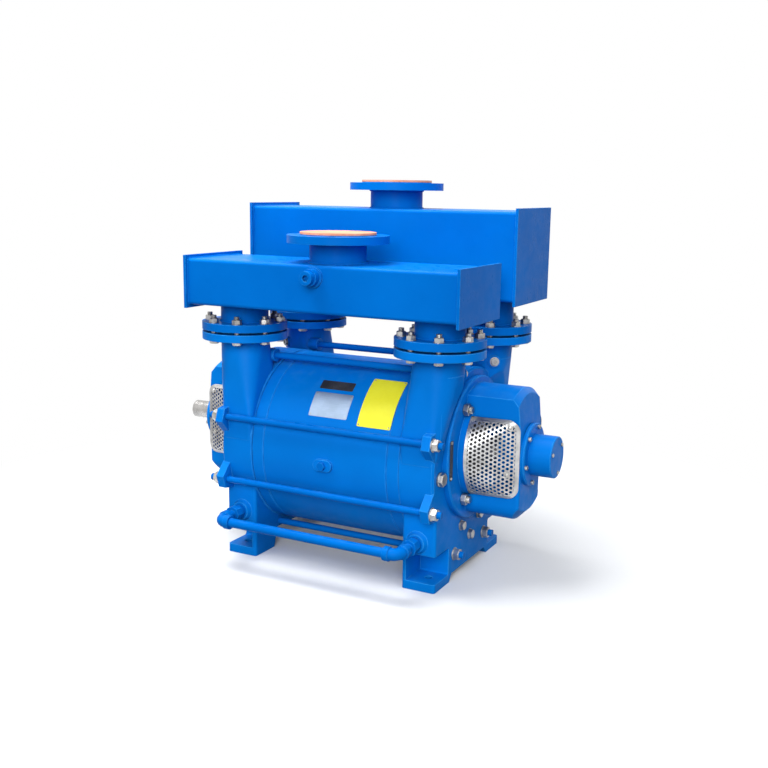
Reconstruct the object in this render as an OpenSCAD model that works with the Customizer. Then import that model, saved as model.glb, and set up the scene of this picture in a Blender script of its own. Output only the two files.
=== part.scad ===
// Liquid ring vacuum pump with two box manifolds on top.
// X runs along the shaft with the drive end at -X, -Y is the front, Z is up from the floor.
// The origin lies midway between the four foot bolts, on the floor.

/* [Main sizes] */
// Height of the shaft axis above the floor
shaft_height = 367.5; // [364:0.5:372]
// Outside radius of the casing
casing_radius = 260; // [257:1:263]
// Length of the casing between the port plates
casing_length = 402; // [390:2:420]
// Wall of the casing
casing_wall = 24; // [18:1:28]
// Height of the impeller axis above the casing axis
eccentricity = 34; // [30:1:38]
// Thickness of a port plate
port_plate = 39; // [34:1:44]
// Length of an end shield along the shaft
shield_depth = 105; // [103:1:110]

/* [Feet] */
// Width of the base across the front and rear feet
foot_width = 478; // [470:2:490]
// Thickness of a foot pad
foot_pad = 25; // [20:1:32]
// Spacing of the foot bolts across the shaft
foot_bolt_y = 380; // [370:2:390]
// Distance of a foot bolt from the shield joint
foot_bolt_in = 65; // [60:1:70]
// Diameter of a foot bolt hole
foot_hole = 22; // [18:1:26]
// Height of the arch under the drive end shield
arch_de = 60; // [40:1:62]
// Height of the arch under the free end shield
arch_nde = 22; // [12:1:60]

/* [Ports] */
// Height of the flange joint above the floor
joint_height = 678; // [672:1:690]
// Distance of the port centres from the shaft plane
port_y = 177.5; // [175:0.5:180]
// Distance of a port centre from the shield joint
port_offset = 77.3; // [76:0.1:79]
// Outside diameter of a port flange
port_flange = 250; // [244:1:254]
// Bolt circle of a port flange
port_circle = 210; // [206:1:214]
// Bore of a port
port_bore = 125; // [115:1:128]
// Outside diameter of a port neck
port_neck = 140; // [136:1:146]
// Thickness of every flange
flange_thick = 22; // [18:1:24]

/* [Manifolds] */
// Height of the front manifold end plates
front_height = 152; // [140:2:170]
// Height of the rear manifold end plates
rear_height = 272; // [250:2:300]
// Height of the front end plates above the flange joint
front_rise = 68; // [64:1:74]
// Height of the rear end plates above the flange joint
rear_rise = 93; // [70:1:100]
// Length of the front manifold over its end plates
front_length = 861; // [845:1:880]
// Length of the rear manifold over its end plates
rear_length = 892; // [880:2:910]
// Width of the end plates
plate_width = 280; // [270:2:290]
// How far the end plates stand proud of the box
plate_lip = 10; // [6:1:14]
// Wall of the manifold boxes
box_wall = 6; // [4:0.5:10]
// Outside diameter of the pipe flanges on top
pipe_flange = 285; // [275:1:290]
// Bolt circle of the pipe flanges on top
pipe_circle = 240; // [232:1:244]
// Bore of the pipe flanges on top
pipe_bore = 150; // [130:1:154]
// Height of the pipe necks above the boxes
pipe_neck = 54; // [40:1:70]

/* [Bearings and shaft] */
// Radius of the bare shaft end
shaft_end_radius = 27.5; // [25:0.5:28.5]
// Length of the bare shaft end outside its bearing cover
shaft_end_length = 103; // [90:1:130]
// Length of a bearing bracket
bracket_length = 178; // [168:1:185]
// Half width of the bracket arms
bracket_half = 85; // [82:1:88]
// Radius of the arched top and bottom of a bracket
bracket_radius = 187; // [183:1:191]
// Radius of the bracket flange on the shield
bracket_flange = 206; // [202:1:210]
// Half height of a bracket guard
guard_half = 111; // [109:0.5:112]
// Radius of the end cap
cap_radius = 58.8; // [56:0.2:62]
// Length of the end cap
cap_length = 65; // [60:1:85]

/* [Impeller] */
// Number of impeller blades
blade_count = 16; // [12:1:20]
// Thickness of a blade
blade_thick = 9; // [6:0.5:11]

/* [Hidden] */
$fn = 96;
blue = [0, 0.38, 0.8];
steel = [0.72, 0.73, 0.75];
iron = [0.35, 0.36, 0.38];
orange = [0.85, 0.5, 0.32];
rubber = [0.12, 0.12, 0.13];
half = casing_length / 2;
joint_x = half + port_plate;
face_x = joint_x + shield_depth;
port_x = joint_x + port_offset;
casing_z = shaft_height - eccentricity;
shield_radius = casing_radius + 3;
gland_stud = 69.5;
impeller_radius = casing_radius - casing_wall - eccentricity - 3;
impeller_half = half - 2;
hub_radius = 75;
raised = 2;
gasket = 3;
bolt_r = 8;
rod_r = 10;
rod_flats = 30;
rod_nut_h = 16;
washer_r = 18.5;
washer_t = 3;
rod_circle = casing_radius + 26;
rod_angle = 19.4;
rod_y = rod_circle * cos(rod_angle);
rod_rise = rod_circle * sin(rod_angle);
top_rod = [124, casing_z + casing_radius + 4.8];
low_rod_r = casing_radius + 19.6;
low_rod = [109, casing_z - sqrt(low_rod_r * low_rod_r - 109 * 109)];
low_boss = 16;
nut_h = 13;
drain_x = joint_x + 50;
drain_z = 140;
drain_y = -foot_width / 2 - 117;
drain_boss = 14;
plug_z = casing_z - 10;
plug_x = 3;
face_plugs = [[-65, casing_z - 185.5], [65, casing_z - 185.5], [0, casing_z - 230.5]];
disc_plug = [-bracket_flange - 17, casing_z - 10];
flange_under = joint_height - gasket / 2 - raised - flange_thick;
horn_plug_z = (flange_under + shaft_height + bracket_flange - 30) / 2;
horn_plug_r = port_neck / 2 + 6;
soft_edge = 2;
brk_bolt = [bracket_half + 16, 128.5];
brk_ring = 145;
brk_x = face_x;
brk_end = brk_x + bracket_length;
bearing_x = brk_end - 11;
bearing_w = 33;
bearing_or = 70;
bearing_ir = 32.5;
nut_seat = 30;
shoulder = 2;
cover_t = 12;
cover_r = bracket_half + 4;
screw_r = cover_r - 11;
cover_out = brk_end + cover_t;
sleeve_r = 45;
box_r = 58;
packing_x0 = joint_x + 22;
packing_n = 5;
packing_w = (shield_depth - 34) / packing_n;
front_z0 = joint_height + front_rise;
rear_z0 = joint_height + rear_rise;
plug_y = -port_y - plate_width / 2 + plate_lip;

// Cylinder along X between two stations
module xcyl(r, x0, x1, y = 0, z = 0) {
    translate([x0, y, z])
        rotate([0, 90, 0])
            cylinder(r = r, h = x1 - x0);
}

// Disc along X whose rims are chamfered by c0 at x0 and c1 at x1
module xdisc(r, x0, x1, c0, c1, y = 0, z = 0) {
    translate([x0, y, z])
        rotate([0, 90, 0])
            rotate_extrude()
                polygon([[0, 0], [r - c0, 0], [r, c0], [r, x1 - x0 - c1], [r - c1, x1 - x0], [0, x1 - x0]]);
}

// Tube along X between two stations
module xtube(ro, ri, x0, x1, y = 0, z = 0) {
    difference() {
        xcyl(ro, x0, x1, y, z);
        xcyl(ri, x0 - 1, x1 + 1, y, z);
    }
}

// Cylinder towards the front, between two distances y0 > y1
module ycyl(r, y0, y1, x, z) {
    translate([x, y0, z])
        rotate([90, 0, 0])
            cylinder(r = r, h = y0 - y1);
}

// Outline in Y and Z, drawn along X
module xslab(x0, x1) {
    translate([x0, 0, 0])
        rotate([90, 0, 90])
            linear_extrude(x1 - x0)
                children();
}

// Outline in X and Z, drawn along Y
module yslab(y0, y1) {
    translate([0, y1, 0])
        rotate([90, 0, 0])
            linear_extrude(y1 - y0)
                children();
}

// Outline in X and Y, drawn along Z
module zslab(z0, z1) {
    translate([0, 0, z0])
        linear_extrude(z1 - z0)
            children();
}

// Rectangle with round corners, from its lowest corner
module round_rect(w, h, r) {
    translate([r, 0])
        square([w - 2 * r, h]);
    translate([0, r])
        square([w, h - 2 * r]);
    for (x = [r, w - r], y = [r, h - r])
        translate([x, y])
            circle(r);
}

// The same piece at both ends
module both_ends() {
    children();
    mirror([1, 0, 0])
        children();
}

// The same piece at the front and the rear
module both_sides() {
    children();
    mirror([0, 1, 0])
        children();
}

// Drive end version of a piece that is drawn for the free end
module drive_end() {
    mirror([1, 0, 0])
        children();
}

// Hexagon along X, given across its flats
module xhex(flats, x0, x1, y, z) {
    translate([x0, y, z])
        rotate([0, 90, 0])
            cylinder(d = flats / cos(30), h = x1 - x0, $fn = 6);
}

// Holes or bolts on a circle that straddle the centre lines
module on_circle(d, n = 8) {
    for (i = [0 : n - 1])
        rotate(360 / n * (i + 0.5))
            translate([d / 2, 0])
                children();
}

module casing() {
    boss_half = 13;
    color(blue)
        difference() {
            union() {
                xdisc(casing_radius, -half, half, soft_edge, soft_edge, 0, casing_z);
                for (x = [-boss_half, boss_half])
                    ycyl(17, -casing_radius + 12, -casing_radius - 9, plug_x + x, plug_z);
                translate([plug_x - boss_half, -casing_radius - 9, plug_z - 17])
                    cube([2 * boss_half, 21, 34]);
            }
            xcyl(casing_radius - casing_wall, -half - 1, half + 1, 0, casing_z);
            ycyl(8.05, -casing_radius + 12, -casing_radius - 10, plug_x, plug_z);
        }
}

module casing_plug() {
    color(blue) {
        ycyl(8, -casing_radius + 10, -casing_radius - 10, plug_x, plug_z);
        translate([plug_x, -casing_radius - 9, plug_z])
            rotate([90, 0, 0])
                cylinder(d = 22 / cos(30), h = 10, $fn = 6);
    }
}

// Annular opening about the shaft axis between two angles
module port_window(ri, ro, a0, a1) {
    far = ro * 1.6;
    mid = (a0 + a1) / 2;
    intersection() {
        difference() {
            circle(ro);
            circle(ri);
        }
        polygon([
            [0, 0],
            [far * cos(a0), far * sin(a0)],
            [far * cos(mid), far * sin(mid)],
            [far * cos(a1), far * sin(a1)]
        ]);
    }
}

module port_plate_nde() {
    color(blue)
        difference() {
            xdisc(casing_radius, half, joint_x, soft_edge, soft_edge, 0, casing_z);
            xcyl(50, half - 1, joint_x + 1, 0, shaft_height);
            translate([0, 0, shaft_height])
                xslab(half - 1, joint_x + 1) {
                    port_window(hub_radius + 13, impeller_radius - 49, -35, 45);
                    port_window(hub_radius + 13, impeller_radius - 69, 190, 245);
                }
        }
}

// Neck that grows out of the shield drum up to its port flange
module horn() {
    hull() {
        translate([port_x, port_y, joint_height - 44])
            cylinder(d = port_neck, h = 20, $fn = 64);
        for (x = [joint_x + 13, face_x - 13], y = [112, casing_radius - 10])
            translate([x, y, casing_z + 30])
                cylinder(r = 12, h = 66, $fn = 20);
    }
}

// Lower half of a port joint
module lower_flange() {
    translate([port_x, port_y, flange_under]) {
        cylinder(d = port_flange, h = flange_thick);
        cylinder(d = port_bore + 63, h = flange_thick + raised);
    }
}

// Tapered lug for a side tie rod, set square to its radius
module rod_lug(a) {
    translate([0, 0, casing_z])
        rotate([a, 0, 0])
            xslab(face_x - 25, face_x)
                polygon([
                    [casing_radius - 20, -52], [casing_radius + 45, -19.5],
                    [casing_radius + 45, 19.5], [casing_radius - 20, 52]
                ]);
}

// Feet and the web between them
module base(arch) {
    difference() {
        zslab(0, casing_z - 100)
            translate([joint_x + 4, -foot_width / 2])
                round_rect(shield_depth - 4, foot_width, 9);
        xslab(joint_x, face_x + 1)
            polygon([[-140, -1], [140, -1], [122, arch], [-122, arch]]);
        both_sides() {
            xslab(joint_x + 17, face_x + 1)
                translate([145, foot_pad])
                    round_rect(foot_width, 80, 6);
            translate([joint_x + foot_bolt_in, foot_bolt_y / 2, -1])
                cylinder(d = foot_hole, h = foot_pad + 2);
        }
    }
}

// Gas rooms on both sides of the shaft, open to the port plate
module rooms() {
    difference() {
        xcyl(casing_radius - 20, joint_x - 1, face_x - 16, 0, casing_z);
        xcyl(82, joint_x - 2, face_x, 0, shaft_height);
        translate([joint_x - 2, -8, 0])
            cube([shield_depth, 16, 2 * casing_z]);
    }
}

// Place of the screw plug on a port neck, facing outwards along Z
module on_horn() {
    translate([port_x, port_y, horn_plug_z])
        rotate([0, 0, -55])
            rotate([0, 90, 0])
                children();
}

// Round boss on the front of the base that takes the drain union
module drain_seat() {
    translate([drain_x, -foot_width / 2 + 1, drain_z])
        rotate([90, 0, 0])
            cylinder(r1 = 33, r2 = 26, h = drain_boss + 1);
}

// Boss for a low tie rod, rooted in the shield drum
module low_rod_boss() {
    hull()
        for (r = [low_rod_r, low_rod_r - 2 * low_boss]) {
            share = r / low_rod_r;
            xcyl(low_boss, joint_x + 4, face_x, low_rod[0] * share, casing_z + (low_rod[1] - casing_z) * share);
        }
}

module end_shield(arch) {
    difference() {
        union() {
            difference() {
                union() {
                    xdisc(shield_radius, joint_x, face_x, soft_edge, 6, 0, casing_z);
                    base(arch);
                    both_sides() {
                        horn();
                        low_rod_boss();
                    }
                }
                translate([face_x, 0, shaft_height])
                    rotate([0, 90, 0])
                        cylinder(r1 = bracket_flange + 2, r2 = bracket_flange + 119, h = 90);
            }
            drain_seat();
            both_sides() {
                lower_flange();
                on_horn()
                    cylinder(r = 18, h = horn_plug_r);
                rod_lug(rod_angle);
                rod_lug(-rod_angle);
                xcyl(20, joint_x + 1, joint_x + 34, top_rod[0], top_rod[1]);
            }
        }
        rooms();
        xcyl(sleeve_r + 1, joint_x - 1, packing_x0 + 1, 0, shaft_height);
        xcyl(box_r + 0.05, packing_x0, face_x + 1, 0, shaft_height);
        both_sides() {
            translate([port_x, port_y, casing_z + 90])
                cylinder(d = port_bore, h = joint_height);
            translate([port_x, port_y, joint_height - 60])
                on_circle(port_circle)
                    cylinder(r = 9, h = 80);
            for (s = [-1, 1]) {
                xcyl(rod_r + 0.6, joint_x, face_x + 1, rod_y, casing_z + s * rod_rise);
                xcyl(washer_r + 1, face_x, face_x + 40, rod_y, casing_z + s * rod_rise);
            }
            xcyl(rod_r + 0.05, joint_x, joint_x + 24.5, top_rod[0], top_rod[1]);
            xcyl(rod_r + 0.6, joint_x, face_x + 1, low_rod[0], low_rod[1]);
            for (s = [-1, 1])
                xcyl(rod_r + 0.05, face_x - 14, face_x + 1, brk_bolt[0], shaft_height + s * brk_bolt[1]);
            on_horn()
                cylinder(r = 8.05, h = horn_plug_r + 1);
            translate([port_x, port_y, joint_height - gasket / 2])
                cylinder(d = port_flange + 30, h = shield_radius);
        }
        for (s = [-1, 1])
            xcyl(6.05, face_x - 21, face_x + 1, 0, shaft_height + s * gland_stud);
        for (p = concat(face_plugs, [disc_plug]))
            xcyl(8.05, face_x - 13, face_x + 1, p[0], p[1]);
        ycyl(13.5, -100, -foot_width / 2 - drain_boss - 1, drain_x, drain_z);
    }
}

module end_shield_nde() {
    color(blue)
        end_shield(arch_nde);
}

module end_shield_de() {
    color(blue)
        drive_end()
            end_shield(arch_de);
}

// Screw plug with a washer in the shield face
module shield_plug(y, z) {
    xcyl(8, face_x - 12, face_x + 1, y, z);
    xcyl(15, face_x, face_x + 3, y, z);
    xhex(24, face_x + 2, face_x + 13, y, z);
}

module shield_plugs() {
    color(steel)
        both_ends() {
            for (p = face_plugs)
                shield_plug(p[0], p[1]);
            xcyl(8, face_x - 12, face_x + 1, disc_plug[0], disc_plug[1]);
            xdisc(20, face_x, face_x + 6, 0, 1.5, disc_plug[0], disc_plug[1]);
            xhex(34, face_x + 5, face_x + 16, disc_plug[0], disc_plug[1]);
            both_sides()
                on_horn() {
                    translate([0, 0, port_bore / 2 + 2])
                        cylinder(r = 8, h = horn_plug_r - port_bore / 2 - 1);
                    translate([0, 0, horn_plug_r])
                        cylinder(r = 15, h = 2.5);
                    translate([0, 0, horn_plug_r])
                        cylinder(r = 11.5, h = 8);
                }
        }
}

// Forward curved blade from the hub to the tip
module blade() {
    bend = 160;
    intersection() {
        translate([hub_radius - 3, bend])
            difference() {
                circle(bend + blade_thick / 2);
                circle(bend - blade_thick / 2);
            }
        translate([hub_radius - 12, -20])
            square([impeller_radius, 100]);
        circle(impeller_radius);
    }
}

module impeller() {
    color(iron)
        translate([0, 0, shaft_height])
            difference() {
                union() {
                    xslab(-impeller_half, impeller_half)
                        for (i = [0 : blade_count - 1])
                            rotate(360 / blade_count * i)
                                blade();
                    xcyl(hub_radius, -impeller_half, impeller_half);
                    xcyl(impeller_radius - 25, -5, 5);
                }
                xcyl(42.55, -impeller_half - 1, impeller_half + 1);
            }
}

module shaft() {
    seat = bearing_x - bearing_w;
    color(steel)
        translate([0, 0, shaft_height])
            difference() {
                union() {
                    xcyl(42.5, -joint_x - 10, joint_x + 10);
                    xcyl(37.5, -seat, seat);
                    xcyl(bearing_ir, -bearing_x, bearing_x);
                    xcyl(nut_seat, -cover_out - shoulder, bearing_x + 38);
                    xcyl(shaft_end_radius, -cover_out - shaft_end_length, 0);
                }
                rotate([-30, 0, 0])
                    translate([-cover_out - shaft_end_length - 1, shaft_end_radius - 6, -8])
                        cube([shaft_end_length - 19, 10, 16]);
            }
}

module shaft_sleeve_nde() {
    color(steel)
        xtube(sleeve_r, 37.55, joint_x + 10, face_x + 32, 0, shaft_height);
}

module packing_nde() {
    color(rubber)
        for (i = [0 : packing_n - 1])
            xtube(box_r, sleeve_r + 0.3, packing_x0 + packing_w * i + 0.05, packing_x0 + packing_w * (i + 1),
                0, shaft_height);
}

module gland_nde() {
    nose = packing_x0 + packing_w * packing_n;
    color(iron)
        difference() {
            union() {
                xcyl(box_r - 0.1, nose, face_x + 3, 0, shaft_height);
                xcyl(88, face_x + 2, face_x + 14, 0, shaft_height);
            }
            xcyl(sleeve_r + 1, nose - 1, face_x + 15, 0, shaft_height);
            for (s = [-1, 1])
                xcyl(6.5, face_x, face_x + 15, 0, shaft_height + s * gland_stud);
        }
}

module gland_studs() {
    color(steel)
        both_ends()
            for (s = [-1, 1])
                xcyl(6, face_x - 20, face_x + 32, 0, shaft_height + s * gland_stud);
}

module gland_nuts() {
    color(steel)
        both_ends()
            for (s = [-1, 1])
                difference() {
                    xhex(19, face_x + 14, face_x + 24, 0, shaft_height + s * gland_stud);
                    xcyl(6.05, face_x + 13, face_x + 25, 0, shaft_height + s * gland_stud);
                }
}

// End outline of the bracket arms: flat sides, an arched top and bottom, round corners below
module arm_outline(inset) {
    w = bracket_half - inset;
    r = bracket_radius - inset;
    c = 45 - inset;
    reach = sqrt((r - c) * (r - c) - (w - c) * (w - c));
    a = atan2(reach, w - c);
    intersection() {
        circle(r);
        union() {
            translate([-w, -reach])
                square([2 * w, reach + r]);
            polygon([
                [c - w, -reach],
                [-r * cos(a), -r * sin(a)],
                [0, -r * 1.05],
                [r * cos(a), -r * sin(a)],
                [w - c, -reach]
            ]);
            for (x = [c - w, w - c])
                translate([x, -reach])
                    circle(c);
        }
    }
}

// Arms of the bracket, with a bevelled outer end that leans back towards the top
module arms() {
    lean = 13;
    bevel = 26;
    intersection() {
        xslab(brk_x + 4, brk_end)
            arm_outline(0);
        xdisc(bracket_radius + 1, brk_x, brk_end, 0, bevel + 1);
        yslab(-bracket_radius, bracket_radius)
            polygon([
                [brk_x, -bracket_radius - 1], [brk_end + 1, -bracket_radius - 1], [brk_end + 1, 0],
                [brk_end, 60], [brk_end - lean, bracket_radius + 1], [brk_x, bracket_radius + 1]
            ]);
        zslab(-bracket_radius - 1, bracket_radius + 1)
            translate([brk_x - 60, -bracket_half])
                round_rect(bracket_length + 60, 2 * bracket_half, 8);
    }
}

module bearing_bracket_nde() {
    color(blue)
        translate([0, 0, shaft_height])
            difference() {
                union() {
                    difference() {
                        union() {
                            xdisc(bracket_flange, brk_x, brk_x + 17, 0, 3);
                            xcyl(brk_ring, brk_x + 4, brk_x + 38);
                            arms();
                        }
                        xslab(brk_x + 17, brk_end - 24)
                            arm_outline(16);
                        xcyl(brk_ring - 18, brk_x + 17, brk_x + 39);
                        yslab(-bracket_flange, bracket_flange)
                            translate([brk_x + 38, 5 - guard_half])
                                round_rect(bracket_length - 58, 2 * guard_half - 10, 25);
                    }
                    xcyl(bracket_half - 1, bearing_x - bearing_w - 22, brk_end);
                }
                xcyl(100, brk_x - 1, brk_x + 18);
                xcyl(50, bearing_x - bearing_w - 23, brk_end + 1);
                xcyl(bearing_or, bearing_x - bearing_w, brk_end + 1);
                on_bracket_bolts()
                    xcyl(rod_r + 0.6, brk_x - 1, brk_x + 18);
                rotate([15, 0, 0])
                    on_cover()
                        xcyl(4.05, brk_end - 16, brk_end + 1, screw_r, 0);
            }
}

// Six places round the bearing cover
module on_cover() {
    for (i = [0 : 5])
        rotate([60 * i, 0, 0])
            children();
}

// Four stud places on the bracket flange
module on_bracket_bolts() {
    for (y = [-1, 1], z = [-1, 1])
        translate([0, y * brk_bolt[0], z * brk_bolt[1]])
            children();
}

module bracket_bolts() {
    color(steel)
        both_ends()
            translate([0, 0, shaft_height])
                on_bracket_bolts() {
                    xcyl(rod_r, brk_x - 13, brk_x + 42);
                    xhex(rod_flats, brk_x + 17, brk_x + 17 + rod_nut_h, 0, 0);
                }
}

// Half outline of a ball race, turned about the shaft
module race(r0, r1, groove) {
    translate([bearing_x - bearing_w, 0, shaft_height])
        rotate([0, 90, 0])
            rotate_extrude()
                difference() {
                    translate([r0, 0])
                        square([r1 - r0, bearing_w]);
                    translate([51, bearing_w / 2])
                        circle(groove);
                }
}

module bearing_outer_nde() {
    color(steel)
        race(57, bearing_or - 0.05, 10.6);
}

module bearing_inner_nde() {
    color(steel)
        race(bearing_ir + 0.05, 45, 10.8);
}

module bearing_balls_nde() {
    color(steel)
        for (i = [0 : 10])
            translate([bearing_x - bearing_w / 2, 0, shaft_height])
                rotate([360 / 11 * i, 0, 0])
                    translate([0, 51, 0])
                        sphere(r = 10.5, $fn = 48);
}

module shaft_nut_nde() {
    color(steel)
        xtube(43, nut_seat + 0.05, bearing_x, bearing_x + 17, 0, shaft_height);
}

// Cover ring that closes the bearing seat
module cover(bore) {
    color(blue)
        translate([0, 0, shaft_height])
            difference() {
                union() {
                    xdisc(cover_r, brk_end, cover_out, 0, 3);
                    xcyl(bearing_or - 0.05, bearing_x, brk_end + 1);
                }
                xcyl(50, bearing_x - 1, cover_out - 5);
                xcyl(bore, bearing_x, cover_out + 1);
                rotate([15, 0, 0])
                    on_cover()
                        xcyl(4.5, brk_end - 1, cover_out + 1, screw_r, 0);
            }
}

module bearing_cover_nde() {
    cover(50);
}

module bearing_cover_de() {
    drive_end()
        cover(nut_seat + 0.5);
}

module cover_screws() {
    color(steel)
        both_ends()
            translate([0, 0, shaft_height])
                rotate([15, 0, 0])
                    on_cover() {
                        xcyl(4, brk_end - 15, cover_out + 1, screw_r, 0);
                        xcyl(6.5, cover_out, cover_out + 7, screw_r, 0);
                    }
}

module end_cap() {
    color(blue)
        translate([0, 0, shaft_height])
            difference() {
                xdisc(cap_radius, cover_out, cover_out + cap_length, 0, soft_edge);
                xcyl(cap_radius - 8, cover_out - 1, cover_out + cap_length - 10);
                for (a = [40, 160, 280])
                    xcyl(3.05, cover_out + cap_length - 11, cover_out + cap_length + 1, 46 * cos(a), 46 * sin(a));
            }
}

module cap_screws() {
    color(steel)
        translate([0, 0, shaft_height])
            for (a = [40, 160, 280]) {
                xcyl(3, cover_out + cap_length - 9, cover_out + cap_length + 1, 46 * cos(a), 46 * sin(a));
                xcyl(5.5, cover_out + cap_length, cover_out + cap_length + 4, 46 * cos(a), 46 * sin(a));
            }
}

// Solid under the bulged guard sheet: an arc at the flange, flat at the bearing end
module guard_bulge() {
    x0 = brk_x + 36;
    hull() {
        intersection() {
            xcyl(brk_ring + 1.8, x0, x0 + 2.5, 0, shaft_height, $fn = 64);
            translate([x0 - 1, -bracket_flange, shaft_height - guard_half - 1])
                cube([5, bracket_flange - bracket_half - 7, 2 * guard_half + 2]);
        }
        translate([brk_end - 1.5, -bracket_half - 1.55, shaft_height - guard_half - 1])
            cube([0.5, 2, 2 * guard_half + 2]);
    }
}

module guard_nde_front() {
    color(steel)
        intersection() {
            difference() {
                guard_bulge();
                translate([0, 1.5, 0])
                    guard_bulge();
            }
            yslab(-bracket_flange, 0)
                translate([brk_x - 20, shaft_height - guard_half])
                    round_rect(bracket_length + 19, 2 * guard_half, 33);
        }
}

module guard_nde_rear() {
    mirror([0, 1, 0])
        guard_nde_front();
}

module tie_rods() {
    reach = face_x + washer_t + rod_nut_h + 12;
    color(blue)
        both_sides() {
            for (s = [-1, 1])
                xcyl(rod_r, -reach, reach, rod_y, casing_z + s * rod_rise);
            xcyl(rod_r, -joint_x - 24, joint_x + 24, top_rod[0], top_rod[1]);
            xcyl(rod_r, -reach, reach, low_rod[0], low_rod[1]);
        }
}

// Nut and washer on the outer face of a shield
module rod_nut(y, z) {
    difference() {
        union() {
            xcyl(washer_r, face_x, face_x + washer_t, y, z);
            xhex(rod_flats, face_x + 1, face_x + washer_t + rod_nut_h, y, z);
        }
        xcyl(rod_r + 0.05, face_x - 1, face_x + washer_t + rod_nut_h + 1, y, z);
    }
}

module tie_rod_nuts() {
    color(steel)
        both_ends()
            both_sides() {
                for (s = [-1, 1])
                    rod_nut(rod_y, casing_z + s * rod_rise);
                rod_nut(low_rod[0], low_rod[1]);
            }
}

// Box manifold: z0 and h give its end plates, len its length over them
module manifold(z0, h, len, side) {
    w = plate_width - 2 * plate_lip;
    top = z0 + h - plate_lip + pipe_neck;
    y0 = side * port_y;
    difference() {
        union() {
            xslab(-len / 2 + 4, len / 2 - 4)
                translate([y0 - w / 2, z0 + plate_lip])
                    round_rect(w, h - 2 * plate_lip, 9);
            both_ends() {
                translate([len / 2 - 8, y0 - plate_width / 2, z0])
                    cube([8, plate_width, h]);
                translate([port_x, y0, joint_height + gasket / 2]) {
                    cylinder(d = port_bore + 63, h = raised + 1);
                    cylinder(d = port_neck, h = z0 - joint_height + plate_lip + 3);
                    translate([0, 0, raised])
                        cylinder(d = port_flange, h = flange_thick);
                }
            }
            translate([0, y0, z0 + h - plate_lip - 3])
                cylinder(d = pipe_bore + 9, h = pipe_neck + 20);
            translate([0, y0, top])
                cylinder(d = pipe_flange, h = flange_thick);
            translate([0, y0, top + flange_thick - 1])
                cylinder(d = pipe_bore + 62, h = raised + 1);
        }
        xslab(-len / 2 + 8, len / 2 - 8)
            translate([y0 - w / 2 + box_wall, z0 + plate_lip + box_wall])
                square([w - 2 * box_wall, h - 2 * plate_lip - 2 * box_wall]);
        both_ends()
            translate([port_x, y0, joint_height - 1]) {
                cylinder(d = port_bore, h = z0 - joint_height + plate_lip + box_wall + 2);
                on_circle(port_circle)
                    cylinder(r = 9, h = flange_thick + raised + 10);
            }
        translate([0, y0, z0 + h - plate_lip - box_wall - 1])
            cylinder(d = pipe_bore, h = pipe_neck + flange_thick + 30);
        translate([0, y0, top - 1])
            on_circle(pipe_circle)
                cylinder(d = 22, h = flange_thick + 2);
    }
}

module front_manifold() {
    pz = front_z0 + front_height * 0.72;
    color(blue)
        difference() {
            union() {
                manifold(front_z0, front_height, front_length, -1);
                ycyl(28, plug_y + 1, plug_y - 7, 0, pz);
                ycyl(23, plug_y, plug_y - 27, 0, pz);
            }
            ycyl(15.05, plug_y + box_wall + 1, plug_y - 28, 0, pz);
        }
}

module rear_manifold() {
    color(blue)
        manifold(rear_z0, rear_height, rear_length, 1);
}

module manifold_plug() {
    pz = front_z0 + front_height * 0.72;
    color(blue)
        difference() {
            union() {
                ycyl(15, plug_y - 5, plug_y - 28, 0, pz);
                ycyl(19, plug_y - 27, plug_y - 44, 0, pz);
            }
            translate([0, plug_y - 34, pz])
                rotate([90, 0, 0])
                    cylinder(d = 17 / cos(30), h = 12, $fn = 6);
        }
}

// The four port joints
module on_ports() {
    for (x = [-port_x, port_x], y = [-port_y, port_y])
        translate([x, y, joint_height])
            children();
}

module flange_gaskets() {
    color(rubber)
        on_ports()
            translate([0, 0, -gasket / 2])
                difference() {
                    cylinder(d = port_bore + 63, h = gasket);
                    translate([0, 0, -1])
                        cylinder(d = port_bore + 4, h = gasket + 2);
                }
}

module flange_bolts() {
    stack = gasket / 2 + raised + flange_thick;
    color(steel)
        on_ports()
            on_circle(port_circle) {
                translate([0, 0, -stack - 9])
                    cylinder(d = 24 / cos(30), h = 9, $fn = 6);
                translate([0, 0, -stack - 1])
                    cylinder(r = bolt_r, h = 2 * stack + 24);
            }
}

module flange_nuts() {
    stack = gasket / 2 + raised + flange_thick;
    color(steel)
        on_ports()
            on_circle(port_circle)
                translate([0, 0, stack])
                    difference() {
                        cylinder(d = 24 / cos(30), h = nut_h, $fn = 6);
                        translate([0, 0, -1])
                            cylinder(r = bolt_r + 0.05, h = nut_h + 2);
                    }
}

// Shipping cover on a pipe flange
module port_cover(z0, h, side) {
    color(orange)
        translate([0, side * port_y, z0 + h - plate_lip + pipe_neck + flange_thick + raised])
            cylinder(d = pipe_bore + 63, h = 6);
}

module front_port_cover() {
    port_cover(front_z0, front_height, -1);
}

module rear_port_cover() {
    port_cover(rear_z0, rear_height, 1);
}

module drain_pipe() {
    color(blue)
        xtube(13.45, 10.5, -drain_x + 30, drain_x - 30, drain_y, drain_z);
}

// Elbow from the union towards the cross pipe
module drain_elbow_nde() {
    color(blue)
        translate([drain_x, drain_y, drain_z])
            difference() {
                union() {
                    translate([-24, 24, 0])
                        rotate([0, 0, -90])
                            rotate_extrude(angle = 90)
                                translate([24, 0])
                                    circle(17);
                    xcyl(20, -40, -24);
                    ycyl(20, 40, 24, 0, 0);
                }
                translate([-24, 24, 0])
                    rotate([0, 0, -91])
                        rotate_extrude(angle = 92)
                            translate([24, 0])
                                circle(10.5);
                xcyl(13.5, -41, -30);
                ycyl(13.5, 41, 30, 0, 0);
            }
}

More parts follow.
